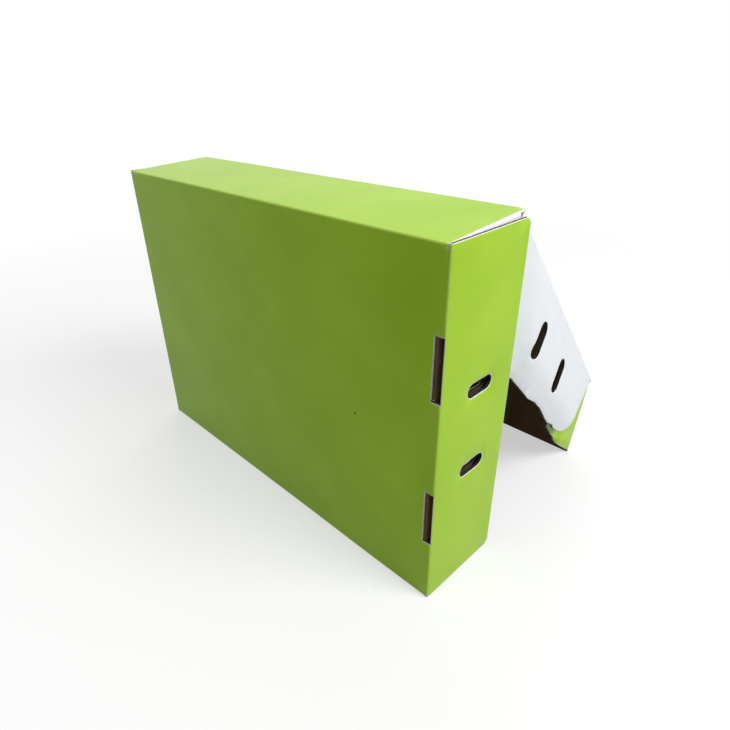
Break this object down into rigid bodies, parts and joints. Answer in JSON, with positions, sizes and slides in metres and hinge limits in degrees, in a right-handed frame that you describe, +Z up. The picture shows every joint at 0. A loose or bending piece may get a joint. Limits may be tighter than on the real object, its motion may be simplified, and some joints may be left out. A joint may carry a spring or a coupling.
{
  "type": "cardboard tray box with hinged lid",
  "caption": "Die-cut corrugated tray box with rolled-over end walls, vented dust flaps and a hinged tuck lid, standing on its front wall with the lid propped open.",
  "frame": {"origin": "middle of the front wall's outer face, which the box stands on", "axes": "+X along the box to the end wall that the picture shows, +Y from the base panel to the open rim, +Z up from the front wall to the back wall"},
  "size_m": [0.4, 0.2807, 0.2938],
  "materials": {
    "printed_board": "gloss lime green print on white-lined board",
    "white_liner": "smooth unprinted white liner",
    "kraft_liner": "matt brown kraft liner and fluting"
  },
  "bodies": {
    "tray": {"tray": "printed_board"},
    "lid": {"lid": "printed_board"},
    "tuck_flap": {"tuck_flap": "printed_board"},
    "tuck_ear_right": {"tuck_ear_right": "printed_board"},
    "tuck_ear_left": {"tuck_ear_left": "printed_board"}
  },
  "joints": [
    {"name": "lid_hinge", "type": "hinge", "parent": "tray", "child": "lid", "pos_m": [0, 0.04342, 0.29379], "axis": [1, 0, 0], "range_deg": [-25, 220]},
    {"name": "tuck_hinge", "type": "hinge", "parent": "lid", "child": "tuck_flap", "pos_m": [0, 0.23719, 0.08175], "axis": [1, 0, 0], "range_deg": [-48, 60]},
    {"name": "ear_right_hinge", "type": "hinge", "parent": "tuck_flap", "child": "tuck_ear_right", "pos_m": [0.18625, 0.23477, 0.08235], "axis": [0, -0.2419, -0.9703], "range_deg": [0, 85]},
    {"name": "ear_left_hinge", "type": "hinge", "parent": "tuck_flap", "child": "tuck_ear_left", "pos_m": [-0.18625, 0.23477, 0.08235], "axis": [0, 0.2419, 0.9703], "range_deg": [0, 85]}
  ]
}
